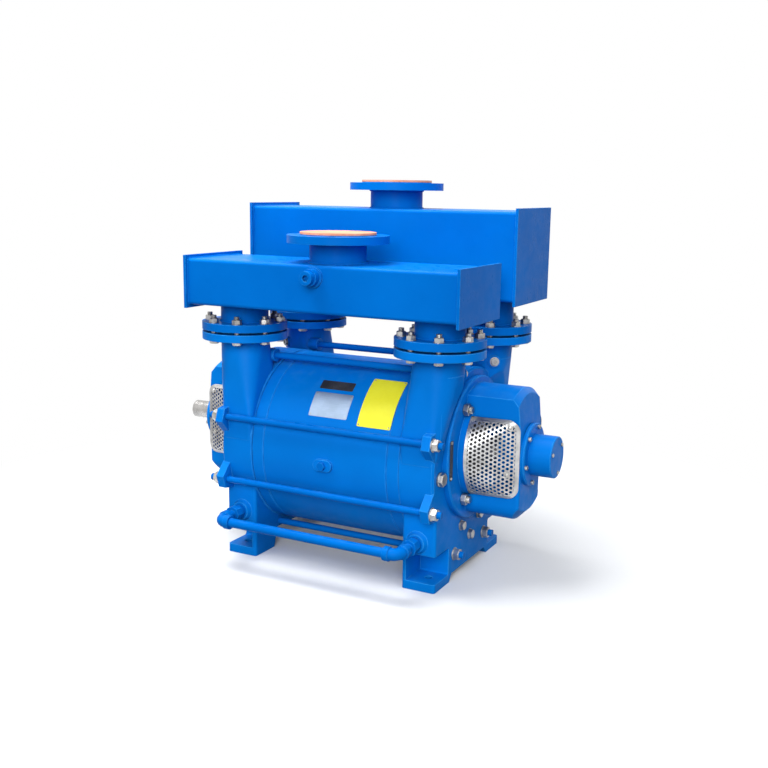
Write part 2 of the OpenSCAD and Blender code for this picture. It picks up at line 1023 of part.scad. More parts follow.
module drain_union_nde() {
    front = -foot_width / 2;
    color(blue)
        difference() {
            union() {
                ycyl(13.45, front + 20, drain_y + 30, drain_x, drain_z);
                ycyl(20, front - drain_boss, front - 30, drain_x, drain_z);
                translate([drain_x, front - 29, drain_z])
                    rotate([90, 0, 0])
                        cylinder(d = 44 / cos(22.5), h = 26, $fn = 8);
            }
            ycyl(10.5, front + 21, drain_y + 29, drain_x, drain_z);
        }
}

casing();
casing_plug();
drive_end() port_plate_nde();  // port_plate_de
port_plate_nde();
end_shield_de();
end_shield_nde();
shield_plugs();
impeller();
shaft();
drive_end() shaft_sleeve_nde();  // shaft_sleeve_de
shaft_sleeve_nde();
drive_end() packing_nde();  // packing_de
packing_nde();
drive_end() gland_nde();  // gland_de
gland_nde();
gland_studs();
gland_nuts();
drive_end() bearing_bracket_nde();  // bearing_bracket_de
bearing_bracket_nde();
bracket_bolts();
drive_end() bearing_outer_nde();  // bearing_outer_de
bearing_outer_nde();
drive_end() bearing_inner_nde();  // bearing_inner_de
bearing_inner_nde();
drive_end() bearing_balls_nde();  // bearing_balls_de
bearing_balls_nde();
drive_end() shaft_nut_nde();  // shaft_nut_de
shaft_nut_nde();
bearing_cover_de();
bearing_cover_nde();
cover_screws();
end_cap();
cap_screws();
drive_end() guard_nde_front();  // guard_de_front
drive_end() guard_nde_rear();  // guard_de_rear
guard_nde_front();
guard_nde_rear();
tie_rods();
tie_rod_nuts();
front_manifold();
rear_manifold();
manifold_plug();
flange_gaskets();
flange_bolts();
flange_nuts();
front_port_cover();
rear_port_cover();
drain_pipe();
drive_end() drain_elbow_nde();  // drain_elbow_de
drain_elbow_nde();
drive_end() drain_union_nde();  // drain_union_de
drain_union_nde();
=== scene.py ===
import math

import bmesh
import bpy
import numpy as np
from mathutils import Matrix, Vector


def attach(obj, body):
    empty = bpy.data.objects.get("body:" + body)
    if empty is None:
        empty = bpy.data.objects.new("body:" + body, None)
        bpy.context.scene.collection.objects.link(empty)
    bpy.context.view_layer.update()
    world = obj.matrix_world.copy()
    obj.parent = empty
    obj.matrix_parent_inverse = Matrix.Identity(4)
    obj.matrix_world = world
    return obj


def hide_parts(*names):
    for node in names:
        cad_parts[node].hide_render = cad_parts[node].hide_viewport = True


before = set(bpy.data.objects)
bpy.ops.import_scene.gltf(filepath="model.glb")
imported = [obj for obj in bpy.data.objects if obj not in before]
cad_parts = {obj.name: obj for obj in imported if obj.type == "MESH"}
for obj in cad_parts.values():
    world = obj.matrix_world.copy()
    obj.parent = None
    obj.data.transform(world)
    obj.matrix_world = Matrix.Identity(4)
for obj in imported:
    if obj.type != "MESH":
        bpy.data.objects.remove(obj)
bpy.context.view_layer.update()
scene = bpy.context.scene
scene.view_settings.view_transform = "Standard"
print("pump frame:", len(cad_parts), "nodes")

# camera at the viewing angle of the picture, metres and degrees
viewer = {"place": (1.4162, -2.6226, 1.0921), "turn": 27.39, "rise": 10.97, "roll": 0.81, "lens": 47.307}


def setCamera(v):
    a, e, r = (math.radians(v[k]) for k in ("turn", "rise", "roll"))
    back = Vector((math.sin(a) * math.cos(e), -math.cos(a) * math.cos(e), math.sin(e)))
    flat = Vector((math.cos(a), math.sin(a), 0))
    steep = back.cross(flat)
    right = flat * math.cos(r) + steep * math.sin(r)
    up = steep * math.cos(r) - flat * math.sin(r)
    lens = bpy.data.cameras.new("pumpView")
    lens.lens = v["lens"]
    lens.sensor_width = 36
    lens.clip_end = 60
    camera = bpy.data.objects.new("pumpView", lens)
    m = Matrix((right, up, back)).transposed().to_4x4()
    m.translation = v["place"]
    camera.matrix_world = m
    scene.collection.objects.link(camera)
    scene.camera = camera


setCamera(viewer)


# node helpers shared by finishes and geometry trees
def addNode(tree, kind, **fields):
    node = tree.nodes.new(kind)
    for name, value in fields.items():
        setattr(node, name, value)
    return node


def feed(tree, socket, value):
    if isinstance(value, bpy.types.NodeSocket):
        tree.links.new(value, socket)
    elif value is not None:
        socket.default_value = value


def calc(tree, op, *values):
    node = addNode(tree, "ShaderNodeMath", operation=op)
    for socket, value in zip(node.inputs, values):
        feed(tree, socket, value)
    return node.outputs[0]


def spread(tree, value, low, high, outLow=0.0, outHigh=1.0):
    node = addNode(tree, "ShaderNodeMapRange", interpolation_type="SMOOTHSTEP")
    for socket, v in zip(node.inputs, (value, low, high, outLow, outHigh)):
        feed(tree, socket, v)
    return node.outputs[0]


def blendColour(tree, factor, one, two, how="MIX"):
    node = addNode(tree, "ShaderNodeMix", data_type="RGBA", blend_type=how)
    feed(tree, node.inputs[0], factor)
    feed(tree, node.inputs[6], one if isinstance(one, bpy.types.NodeSocket) else (*one, 1))
    feed(tree, node.inputs[7], two if isinstance(two, bpy.types.NodeSocket) else (*two, 1))
    return node.outputs[2]


def grainNoise(tree, place, scale, detail=2.0, stretch=None):
    if stretch:
        turn = addNode(tree, "ShaderNodeMapping")
        feed(tree, turn.inputs["Vector"], place)
        turn.inputs["Scale"].default_value = stretch
        place = turn.outputs[0]
    node = addNode(tree, "ShaderNodeTexNoise")
    feed(tree, node.inputs["Vector"], place)
    node.inputs["Scale"].default_value = scale
    node.inputs["Detail"].default_value = detail
    return node.outputs[0]


def startFinish(name):
    mat = bpy.data.materials.new(name)
    mat.use_nodes = True
    tree = mat.node_tree
    shader = tree.nodes["Principled BSDF"]
    place = addNode(tree, "ShaderNodeTexCoord").outputs["Object"]
    return mat, tree, shader, place


def roughen(tree, height, strength, distance, normal=None):
    node = addNode(tree, "ShaderNodeBump")
    node.inputs["Strength"].default_value = strength
    node.inputs["Distance"].default_value = distance
    feed(tree, node.inputs["Height"], height)
    if normal:
        feed(tree, node.inputs["Normal"], normal)
    return node.outputs[0]


def softEdge(tree, radius):
    node = addNode(tree, "ShaderNodeBevel", samples=4)
    node.inputs["Radius"].default_value = radius
    flat = addNode(tree, "ShaderNodeNewGeometry").outputs["Normal"]
    facing = addNode(tree, "ShaderNodeVectorMath", operation="DOT_PRODUCT")
    feed(tree, facing.inputs[0], node.outputs[0])
    feed(tree, facing.inputs[1], flat)
    return node.outputs[0], spread(tree, facing.outputs["Value"], 0.995, 0.86)


# AO mask for painted shade: it finds the crevices where shade falls
def nookShade(tree, reach):
    node = addNode(tree, "ShaderNodeAmbientOcclusion", samples=6)
    node.inputs["Distance"].default_value = reach
    return node.outputs["AO"]


# blue enamel: castings are pitted, welded sheet and turned pieces are smoother
enamel = {
    "cast": {"deep": (0.0, 0.168, 0.62), "fresh": (0.0, 0.198, 0.70),
             "pits": 0.30, "gloss": 0.40, "edge": 0.004, "shine": 0.05},
    # the sheet colours are a darker copy of the cast blue: painted shade for the sheet parts
    "sheet": {"deep": (0.0, 0.128, 0.51), "fresh": (0.0, 0.150, 0.58),
              "pits": 0.10, "gloss": 0.31, "edge": 0.0022, "shine": 0.025},
    # the pale edge colour on the next line is a painted highlight for rounded edges
    "edgeHighlight": (0.05, 0.40, 0.92), "upwardColour": (0.06, 0.28, 0.62), "nook": (0.001, 0.035, 0.17),
    # the nook colour, reach and depth set painted shade in crevices
    "nookReach": 0.045, "nookDepth": 0.45, "upwardShare": 0.16, "relief": 0.0011, "peel": 0.6,
    # the paler upward colour and its share, set above, tint upward faces in noise blotches
    "cloudScale": 3.1, "spotScale": 34, "sandScale": 260, "peelScale": 75,
}


def paintFinish(name, coat):
    mat, tree, shader, place = startFinish(name)
    clouds = grainNoise(tree, place, enamel["cloudScale"], 4)
    spots = grainNoise(tree, place, enamel["spotScale"], 3)
    sand = grainNoise(tree, place, enamel["sandScale"], 3)
    peel = grainNoise(tree, place, enamel["peelScale"], 1)
    colour = blendColour(tree, spread(tree, clouds, 0.35, 0.66), coat["deep"], coat["fresh"])
    # painted highlight: rounded edges found by the bevel are blended toward the pale edge colour, in noise
    # patches
    normal, rim = softEdge(tree, coat["edge"])
    paintedHighlight = calc(tree, "MULTIPLY", rim, spread(tree, spots, 0.34, 0.62, 0.3, 0.9))
    colour = blendColour(tree, paintedHighlight, colour, enamel["edgeHighlight"])
    # upward faces are blended a little toward a paler blue, in noise blotches
    upward = addNode(tree, "ShaderNodeSeparateXYZ")
    feed(tree, upward.inputs[0], addNode(tree, "ShaderNodeNewGeometry").outputs["Normal"])
    level = spread(tree, upward.outputs["Z"], 0.55, 1.0)
    upwardTint = calc(tree, "MULTIPLY", level, spread(tree, spots, 0.42, 0.72, 0.0, enamel["upwardShare"]))
    colour = blendColour(tree, upwardTint, colour, enamel["upwardColour"])
    # painted shade: crevices found by AO are darkened toward the nook colour
    shade = spread(tree, nookShade(tree, enamel["nookReach"]), 0.15, 0.75, enamel["nookDepth"], 0.0)
    colour = blendColour(tree, shade, colour, enamel["nook"])
    feed(tree, shader.inputs["Base Color"], colour)
    dull = spread(tree, spots, 0.3, 0.7, coat["gloss"] - 0.06, coat["gloss"] + 0.09)
    dull = calc(tree, "ADD", dull, spread(tree, clouds, 0.4, 0.7, 0.0, 0.05))
    feed(tree, shader.inputs["Roughness"], dull)
    pits = calc(tree, "MULTIPLY", sand, coat["pits"])
    skin = calc(tree, "ADD", pits, calc(tree, "MULTIPLY", peel, enamel["peel"]))
    feed(tree, shader.inputs["Normal"], roughen(tree, skin, 0.35, enamel["relief"], normal))
    shader.inputs["Specular IOR Level"].default_value = coat["shine"]
    return mat


castPaint = paintFinish("castPaint", enamel["cast"])
# the sheet enamel is the cast blue darkened as painted shade
shadedSheetPaint = paintFinish("shadedSheetPaint", enamel["sheet"])

# painted shade in the nooks of metal pieces: AO darkens crevices toward this dark colour
creviceShade = {"colour": (0.06, 0.055, 0.05), "reach": 0.012, "depth": 0.55}


def metalFinish(name, tone, gloss, streak, edge=0.0008, blotch=0.12, ringed=False):
    mat, tree, shader, place = startFinish(name)
    clouds = grainNoise(tree, place, 26, 4)
    lines = grainNoise(tree, place, 90, 3, streak)
    dark = tuple(c * (1 - blotch * 2.4) for c in tone)
    colour = blendColour(tree, spread(tree, clouds, 0.32, 0.66), dark, tone)
    # painted shade: crevices found by AO are darkened toward the dark nook colour
    shade = spread(tree, nookShade(tree, creviceShade["reach"]), 0.1, 0.7, creviceShade["depth"], 0.0)
    colour = blendColour(tree, shade, colour, creviceShade["colour"])
    feed(tree, shader.inputs["Base Color"], colour)
    feed(tree, shader.inputs["Roughness"], spread(tree, lines, 0.25, 0.75, gloss - 0.08, gloss + 0.12))
    shader.inputs["Metallic"].default_value = 1.0
    normal = softEdge(tree, edge)[0]
    feed(tree, shader.inputs["Normal"], roughen(tree, lines, 0.18 if ringed else 0.1, 0.0004, normal))
    return mat


zincPlate = metalFinish("zincPlate", (0.52, 0.51, 0.49), 0.36, (1, 1, 1), blotch=0.18)
guardSheet = metalFinish("guardSheet", (0.50, 0.50, 0.50), 0.34, (0.15, 1, 6), blotch=0.15)
groundShaft = metalFinish("groundShaft", (0.46, 0.45, 0.44), 0.27, (9, 0.3, 0.3), ringed=True)
raceSteel = metalFinish("raceSteel", (0.66, 0.66, 0.67), 0.18, (5, 0.4, 0.4))
bareIron = metalFinish("bareIron", (0.20, 0.20, 0.21), 0.55, (1, 1, 1), blotch=0.2)
plateSilver = metalFinish("plateSilver", (0.38, 0.49, 0.64), 0.46, (0.4, 5, 5), blotch=0.05)


def dullFinish(name, one, two, scale, gloss, pits, stretch=None, grain=0.35):
    mat, tree, shader, place = startFinish(name)
    clouds = grainNoise(tree, place, scale, 5, stretch)
    fibre = grainNoise(tree, place, scale * 11, 3, stretch)
    colour = blendColour(tree, spread(tree, clouds, 0.3, 0.7), one, two)
    dark = tuple(c * 0.7 for c in one)
    colour = blendColour(tree, spread(tree, fibre, 0.35, 0.75, 0.0, grain), colour, dark)
    feed(tree, shader.inputs["Base Color"], colour)
    feed(tree, shader.inputs["Roughness"], spread(tree, fibre, 0.2, 0.8, gloss - 0.08, gloss + 0.1))
    feed(tree, shader.inputs["Normal"], roughen(tree, fibre, pits, 0.0006, softEdge(tree, 0.0009)[0]))
    return mat


coverBoard = dullFinish("coverBoard", (0.74, 0.27, 0.14), (0.92, 0.41, 0.24), 16, 0.62, 0.35)
jointRubber = dullFinish("jointRubber", (0.016, 0.016, 0.018), (0.032, 0.032, 0.034), 30, 0.7, 0.4)
packingFibre = dullFinish("packingFibre", (0.13, 0.115, 0.09), (0.22, 0.20, 0.16), 60, 0.85, 0.8, (1, 4, 4))
plateYellow = dullFinish("plateYellow", (0.86, 0.82, 0.02), (0.91, 0.88, 0.03), 9, 0.44, 0.08, grain=0.08)
plateDark = dullFinish("plateDark", (0.018, 0.019, 0.022), (0.045, 0.046, 0.05), 22, 0.42, 0.12)

# which finish each solid wears
wearing = {
    castPaint: ("casing", "port_plate_de", "port_plate_nde", "end_shield_de", "end_shield_nde",
                "bearing_bracket_de", "bearing_bracket_nde", "bearing_cover_de", "bearing_cover_nde", "end_cap"),
    shadedSheetPaint: ("casing_plug", "tie_rods", "front_manifold", "rear_manifold", "manifold_plug", "drain_pipe",
                 "drain_elbow_de", "drain_elbow_nde", "drain_union_de", "drain_union_nde"),
    groundShaft: ("shaft", "shaft_sleeve_de", "shaft_sleeve_nde", "shaft_nut_de", "shaft_nut_nde"),
    raceSteel: ("bearing_outer_de", "bearing_outer_nde", "bearing_inner_de", "bearing_inner_nde",
                "bearing_balls_de", "bearing_balls_nde"),
    bareIron: ("impeller", "gland_de", "gland_nde"),
    zincPlate: ("gland_studs", "gland_nuts"),
    jointRubber: ("flange_gaskets",),
    packingFibre: ("packing_de", "packing_nde"),
    coverBoard: ("front_port_cover", "rear_port_cover"),
}
for finish, names in wearing.items():
    for name in names:
        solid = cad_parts[name]
        if not solid.material_slots:
            solid.data.materials.append(finish)
        for place in solid.material_slots:
            place.material = finish
print("finishes on", sum(len(n) for n in wearing.values()), "solids")


# geometry trees: a seed mesh goes in, one plain mesh comes out
def startTree(name, **inputs):
    tree = bpy.data.node_groups.new(name, "GeometryNodeTree")
    tree.interface.new_socket(name="Seed", in_out="INPUT", socket_type="NodeSocketGeometry")
    for label, kind in inputs.items():
        tree.interface.new_socket(name=label, in_out="INPUT", socket_type="NodeSocket" + kind)
    tree.interface.new_socket(name="Finish", in_out="INPUT", socket_type="NodeSocketMaterial")
    tree.interface.new_socket(name="Result", in_out="OUTPUT", socket_type="NodeSocketGeometry")
    return tree, addNode(tree, "NodeGroupInput").outputs


def closeTree(tree, geometry, entry):
    real = addNode(tree, "GeometryNodeRealizeInstances")
    feed(tree, real.inputs[0], geometry)
    paint = addNode(tree, "GeometryNodeSetMaterial")
    feed(tree, paint.inputs["Geometry"], real.outputs[0])
    feed(tree, paint.inputs["Material"], entry["Finish"])
    feed(tree, addNode(tree, "NodeGroupOutput").inputs[0], paint.outputs[0])


def evaluated(holder):
    bpy.context.view_layer.update()
    graph = bpy.context.evaluated_depsgraph_get()
    return bpy.data.meshes.new_from_object(holder.evaluated_get(graph), depsgraph=graph)


def growMesh(tree, seed, values, wall=None):
    holder = bpy.data.objects.new("grow", seed)
    scene.collection.objects.link(holder)
    step = holder.modifiers.new("tree", "NODES")
    step.node_group = tree
    for item in tree.interface.items_tree:
        if item.in_out == "INPUT" and item.name in values:
            step[item.identifier] = values[item.name]
    if wall:
        thick = holder.modifiers.new("wall", "SOLIDIFY")
        thick.thickness = wall
        thick.offset = -1
    made = evaluated(holder)
    holder.modifiers.clear()
    bpy.data.objects.remove(holder)
    made.materials.clear()  # one slot, also where a seed with faces left an empty one
    made.materials.append(values["Finish"])
    made.polygons.foreach_set("material_index", [0] * len(made.polygons))
    return made


def placePiece(name, mesh, slot, *nodes, body="pump_body"):
    mesh.name = name
    piece = bpy.data.objects.new(name, mesh)
    scene.collection.objects.link(piece)
    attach(piece, body)
    if nodes:
        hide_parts(*nodes)


def meshFrom(name, points, faces, edges=()):
    mesh = bpy.data.meshes.new(name)
    mesh.from_pydata([tuple(p) for p in points], edges, faces)
    mesh.update()
    return mesh


def seedPoints(name, places, aims):
    mesh = meshFrom(name, places, [])
    aim = mesh.attributes.new("aim", "FLOAT_VECTOR", "POINT")
    aim.data.foreach_set("vector", np.array(aims, float).ravel())
    return mesh


# lathe and hexagon shapes for fasteners, along Z, closed where the radius is 0
def lathe(profile, sides):
    rings, points, faces = [], [], []
    for r, z in profile:
        if r < 1e-7:
            rings.append([len(points)])
            points.append((0, 0, z))
        else:
            rings.append([len(points) + k for k in range(sides)])
            turns = [2 * math.pi * k / sides for k in range(sides)]
            points += [(r * math.cos(a), r * math.sin(a), z) for a in turns]
    for low, high in zip(rings, rings[1:]):
        for k in range(sides):
            n = (k + 1) % sides
            quad = [low[k % len(low)], low[n % len(low)], high[n % len(high)], high[k % len(high)]]
            faces.append(list(dict.fromkeys(quad)))
    return points, faces


# hexagon heads: shares of the width over flats, and steepness of the crown
hexagon = {"around": 24, "crown": 0.48, "bevel": 0.03, "plain": 0.04, "steep": 0.6}


def hexBody(flats, z0, z1, crownLow=True, crownHigh=True):
    around = hexagon["around"]
    turns = [2 * math.pi * k / around for k in range(around)]
    reach = [flats / 2 / math.cos((a + math.pi / 6) % (math.pi / 3) - math.pi / 6) for a in turns]

    def edge(r, crowned):
        over = (r - flats / 2) * hexagon["steep"]
        return over + hexagon["bevel"] * flats if crowned else hexagon["plain"] * flats

    def ends(r, crowned):
        return flats * hexagon["crown"] if crowned else r
    levels = [
        [(ends(r, crownLow), z0) for r in reach],
        [(r, z0 + edge(r, crownLow)) for r in reach],
        [(r, z1 - edge(r, crownHigh)) for r in reach],
        [(ends(r, crownHigh), z1) for r in reach],
    ]
    points = [(r * math.cos(a), r * math.sin(a), z) for level in levels for a, (r, z) in zip(turns, level)]
    faces = []
    for low in range(0, 3 * around, around):
        high = low + around
        for k in range(around):
            n = (k + 1) % around
            faces.append([low + k, low + n, high + n, high + k])
    faces.append(list(range(around))[::-1])
    faces.append([3 * around + k for k in range(around)])
    return points, faces


def threadRod(r, z0, z1, pitch):
    turns = max(2, round((z1 - z0) / pitch))
    profile = [(0, z0)]
    for k in range(turns):
        z = z0 + (z1 - z0) * k / turns
        profile += [(r * 0.9, z), (r, z + (z1 - z0) / turns * 0.5)]
    profile += [(r * 0.86, z1), (0, z1)]
    return lathe(profile, 14)


def fuse(name, *shapes):
    points, faces = [], []
    for p, f in shapes:
        start = len(points)
        points += p
        faces += [[start + i for i in face] for face in f]
    return meshFrom(name, points, faces)


def fastenerTree():
    tree, entry = startTree("fasteners", Shape="Object", Jumble="Float", Pick="Int")
    shape = addNode(tree, "GeometryNodeObjectInfo")
    feed(tree, shape.inputs["Object"], entry["Shape"])
    aim = addNode(tree, "GeometryNodeInputNamedAttribute", data_type="FLOAT_VECTOR")
    aim.inputs["Name"].default_value = "aim"
    stand = addNode(tree, "FunctionNodeAlignRotationToVector", axis="Z")
    feed(tree, stand.inputs["Vector"], aim.outputs[0])
    put = addNode(tree, "GeometryNodeInstanceOnPoints")
    feed(tree, put.inputs["Points"], entry["Seed"])
    feed(tree, put.inputs["Instance"], shape.outputs["Geometry"])
    feed(tree, put.inputs["Rotation"], stand.outputs[0])
    chance = addNode(tree, "FunctionNodeRandomValue", data_type="FLOAT")
    feed(tree, chance.inputs[3], entry["Jumble"])
    feed(tree, chance.inputs["Seed"], entry["Pick"])
    spin = addNode(tree, "ShaderNodeCombineXYZ")
    feed(tree, spin.inputs["Z"], chance.outputs[1])
    turned = addNode(tree, "GeometryNodeRotateInstances")
    feed(tree, turned.inputs["Instances"], put.outputs[0])
    feed(tree, turned.inputs["Rotation"], spin.outputs[0])
    turned.inputs["Local Space"].default_value = True
    closeTree(tree, turned.outputs[0], entry)
    return tree


fasteners = fastenerTree()


def setFasteners(name, shape, places, aims, slot, *nodes, jumble=1.0, pick=7):
    pattern = bpy.data.objects.new("pattern", shape)
    scene.collection.objects.link(pattern)
    values = {"Shape": pattern, "Jumble": jumble, "Pick": pick, "Finish": zincPlate}
    made = growMesh(fasteners, seedPoints(name, places, aims), values)
    bpy.data.objects.remove(pattern)
    placePiece(name, made, slot, *nodes)


def washer(r, low, high, sides=20):
    return lathe([(0, low), (r, low), (r, high), (0, high)], sides)


# places that several pieces share, in metres: heights of both axes, end faces, port centres, all four corners
shaftZ, casingZ = 0.3675, 0.3335
faceX = 0.345
portX, portY = 0.3173, 0.1775
corners = [(sx, sy) for sx in (-1, 1) for sy in (-1, 1)]

# studs of the four port joints, heights measured from the middle of the joint
portJoint = {"z": 0.678, "circle": 0.210, "count": 8, "flats": 0.024, "stud": 0.008, "washer": 0.0148,
             "face": 0.0255, "seat": 0.0277, "head": -0.0345, "nut": 0.0393, "tip": 0.0483, "pitch": 0.002}
j = portJoint
portStud = fuse(
    "portStud",
    hexBody(j["flats"], j["head"], -j["seat"], crownHigh=False), washer(j["washer"], -j["seat"], -j["face"]),
    washer(j["stud"], -0.026, 0.026, 14),
    washer(j["washer"], j["face"], j["seat"]), hexBody(j["flats"], j["seat"], j["nut"], crownLow=False),
    threadRod(j["stud"], j["nut"] - 0.0003, j["tip"], j["pitch"]))
places = []
for sx, sy in corners:
    for k in range(j["count"]):
        a = 2 * math.pi * (k + 0.5) / j["count"]
        r = j["circle"] / 2
        places.append((sx * portX + r * math.cos(a), sy * portY + r * math.sin(a), j["z"]))
upright = [(0, 0, 1)] * len(places)
setFasteners("portStuds", portStud, places, upright, "zinc_steel", "flange_bolts", "flange_nuts", pick=3)
print("port studs:", len(places))

# nuts and screws on the faces of both ends, x measured outwards
endFixings = {
    "rodNuts": [(0.2698, casingZ + 0.095), (0.2698, casingZ - 0.095), (0.109, 0.076)],
    "bracketNuts": [(0.101, shaftZ + 0.1285), (0.101, shaftZ - 0.1285)],
    "facePlugs": [(-0.065, 0.148), (0.065, 0.148), (0, 0.103)],
    "sidePlug": (-0.223, casingZ - 0.010),
    "hornPlug": {"z": 0.598, "r": 0.076, "turn": -55},
    "bracketFlange": 0.017,
}


def bothEnds(x, pairs, mirrorY=True):
    spots, aims = [], []
    for sx in (-1, 1):
        for y, z in pairs:
            for sy in ((-1, 1) if mirrorY else (1,)):
                spots.append((sx * x, sy * y, z))
                aims.append((sx, 0, 0))
    return spots, aims


rodWasher = lathe([(0, 0), (0.0185, 0), (0.0185, 0.0026), (0.0181, 0.0030), (0, 0.0030)], 28)
rodNut = fuse("rodNut", rodWasher, hexBody(0.030, 0.0029, 0.0190, crownLow=False))
spots, aims = bothEnds(faceX, endFixings["rodNuts"])
setFasteners("rodNuts", rodNut, spots, aims, "zinc_steel", "tie_rod_nuts", pick=11)

bracketNut = fuse("bracketNut", hexBody(0.030, 0, 0.0160), threadRod(0.010, 0.0155, 0.0250, 0.0025))
spots, aims = bothEnds(faceX + endFixings["bracketFlange"], endFixings["bracketNuts"])
setFasteners("bracketNuts", bracketNut, spots, aims, "zinc_steel", "bracket_bolts", jumble=0.08, pick=5)

facePlug = fuse("facePlug", washer(0.0150, 0, 0.0030, 24), hexBody(0.024, 0.0029, 0.0130, crownLow=False))
spots, aims = bothEnds(faceX, endFixings["facePlugs"], mirrorY=False)
setFasteners("facePlugs", facePlug, spots, aims, "zinc_steel", "shield_plugs", pick=23)
collar = lathe([(0, 0), (0.0200, 0), (0.0200, 0.0045), (0.0185, 0.0060), (0, 0.0060)], 32)
sidePlug = fuse("sidePlug", collar, hexBody(0.034, 0.0059, 0.0160, crownLow=False))
spots, aims = bothEnds(faceX, [endFixings["sidePlug"]], mirrorY=False)
setFasteners("sidePlugs", sidePlug, spots, aims, "zinc_steel", "shield_plugs", pick=31)
hornPlug = fuse("hornPlug", lathe([(0, 0), (0.0138, 0), (0.0138, 0.0025), (0.0110, 0.0026), (0.0110, 0.0070),
                                   (0.0100, 0.0080), (0.0052, 0.0080), (0.0050, 0.0042), (0, 0.0042)], 24))
h = endFixings["hornPlug"]
outX, outY = math.cos(math.radians(h["turn"])), math.sin(math.radians(h["turn"]))
spots = [(sx * (portX + h["r"] * outX), sy * (portY + h["r"] * outY), h["z"]) for sx, sy in corners]
aims = [(sx * outX, sy * outY, 0) for sx, sy in corners]
setFasteners("hornPlugs", hornPlug, spots, aims, "zinc_steel", "shield_plugs", pick=29)

# socket screws of the bearing covers and the end cap
coverScrews = {"r": 0.078, "x": 0.535, "angles": (15, 75, 135, 195, 255, 315)}
capScrews = {"r": 0.046, "x": 0.600, "angles": (40, 160, 280)}


def aroundShaft(x, r, degrees):
    turns = [math.radians(d) for d in degrees]
    return [(x, r * math.cos(a), shaftZ + r * math.sin(a)) for a in turns]


socketHead = fuse("socketHead", lathe([(0, 0), (0.0064, 0), (0.0065, 0.0060), (0.0058, 0.0070),
                                       (0.0036, 0.0070), (0.0034, 0.0034), (0, 0.0034)], 18))
c = coverScrews
spots = aroundShaft(-c["x"], c["r"], c["angles"]) + aroundShaft(c["x"], c["r"], c["angles"])
aims = [(-1, 0, 0)] * len(c["angles"]) + [(1, 0, 0)] * len(c["angles"])
setFasteners("coverScrews", socketHead, spots, aims, "zinc_steel", "cover_screws")
capHead = fuse("capHead", lathe([(0, 0), (0.0055, 0), (0.0055, 0.0026), (0.0042, 0.0040), (0.0024, 0.0040),
                                 (0.0022, 0.0018), (0, 0.0018)], 18))
c = capScrews
spots = aroundShaft(c["x"], c["r"], c["angles"])
setFasteners("capScrews", capHead, spots, [(1, 0, 0)] * len(spots), "zinc_steel", "cap_screws")
print("end fixings set")

# bulged guards with staggered round holes and a plain rim
guard = {
    "left": 0.381, "bend": 0.3835, "right": 0.522, "half": 0.111, "corner": 0.033, "drum": 0.1468,
    "flat": 0.08655, "pitch": 0.0120, "hole": 0.0041, "sides": 12, "sheet": 0.0012, "lift": 0.0007,
    "rim": 0.010, "leftRim": 0.009, "rightRim": 0.011, "margin": 0.0072, "endMargin": 0.006, "sink": 0.0002,
}
# sizes of the bulge, inputs of both guard trees
bulge = {label: "Float" for label in ("Bend", "End", "Half", "Drum", "Flat", "Lift", "Height")}


def bulgeTree():
    tree, entry = startTree("bulgedGuard", **bulge, Pitch="Float", Hole="Float", Sides="Int")
    # one hexagon cell with its hole
    cell = addNode(tree, "GeometryNodeCurvePrimitiveCircle", mode="RADIUS")
    cell.inputs["Resolution"].default_value = 6
    feed(tree, cell.inputs["Radius"], calc(tree, "DIVIDE", entry["Pitch"], math.sqrt(3)))
    hole = addNode(tree, "GeometryNodeCurvePrimitiveCircle", mode="RADIUS")
    feed(tree, hole.inputs["Resolution"], entry["Sides"])
    feed(tree, hole.inputs["Radius"], entry["Hole"])
    both = addNode(tree, "GeometryNodeJoinGeometry")
    tree.links.new(hole.outputs[0], both.inputs[0])
    tree.links.new(cell.outputs[0], both.inputs[0])
    web = addNode(tree, "GeometryNodeFillCurve")
    feed(tree, web.inputs[0], both.outputs[0])
    put = addNode(tree, "GeometryNodeInstanceOnPoints")
    feed(tree, put.inputs["Points"], entry["Seed"])
    feed(tree, put.inputs["Instance"], web.outputs[0])
    real = addNode(tree, "GeometryNodeRealizeInstances")
    feed(tree, real.inputs[0], put.outputs[0])
    weld = addNode(tree, "GeometryNodeMergeByDistance")
    feed(tree, weld.inputs["Geometry"], real.outputs[0])
    weld.inputs["Distance"].default_value = 0.0002
    closeTree(tree, bentSheet(tree, weld.outputs[0], entry), entry)
    return tree


